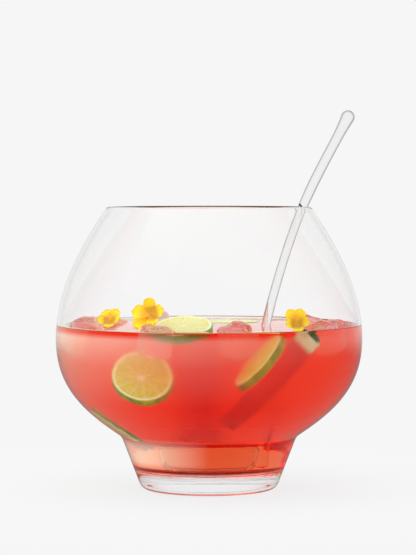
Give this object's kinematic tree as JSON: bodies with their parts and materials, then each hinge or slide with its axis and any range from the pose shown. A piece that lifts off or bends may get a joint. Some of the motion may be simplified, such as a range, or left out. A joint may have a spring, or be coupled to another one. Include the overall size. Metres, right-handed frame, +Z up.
{
  "type": "punch bowl",
  "caption": "Round clear glass punch bowl on a tapered solid foot, with a curved glass ladle leaning on its rim, filled with iced fruit punch, citrus slices, melon sticks and edible flowers.",
  "frame": {"origin": "middle of the foot's underside, on the bowl's axis, where the bowl stands", "axes": "+Z up along the bowl's axis, +X towards the side where the ladle's handle leans on the rim"},
  "size_m": [0.3, 0.3, 0.3708],
  "materials": {
    "bowl_glass": "mouth-blown, fire-polished, clear",
    "ladle_glass": "drawn rod, fire-polished, clear",
    "punch": "slightly cloudy liquid",
    "ice": "wet, half clear",
    "watermelon": "wet cut flesh",
    "lime": "wet cut flesh with a waxy green peel",
    "viola_petal": "velvety petal"
  },
  "bodies": {
    "bowl": {"punch_bowl": "bowl_glass"},
    "filling": {"punch": "punch", "ice_cube_1": "ice", "ice_cube_2": "ice", "ice_cube_3": "ice", "ice_cube_4": "ice", "ice_cube_5": "ice", "ice_cube_6": "ice", "ice_cube_7": "ice", "ice_cube_8": "ice", "ice_cube_9": "ice", "melon_stick_front": "watermelon", "melon_stick_back": "watermelon", "lime_slice_front": "lime", "lime_slice_on_melon": "lime", "lime_slice_low_left": "lime", "lime_slice_floating": "lime", "lime_slice_floating_back": "lime", "viola_left": "viola_petal", "viola_middle": "viola_petal", "viola_right": "viola_petal"},
    "ladle": {"ladle": "ladle_glass"}
  },
  "joints": [
    {"name": "stir", "type": "hinge", "parent": "bowl", "child": "filling", "pos_m": [0, 0, 0.02], "axis": [0, 0, 1], "continuous": true},
    {"name": "ladle_lift", "type": "slide", "parent": "filling", "child": "ladle", "axis": [0, 0, 1], "range_m": [0, 0.27], "deforming": ["punch"]}
  ]
}
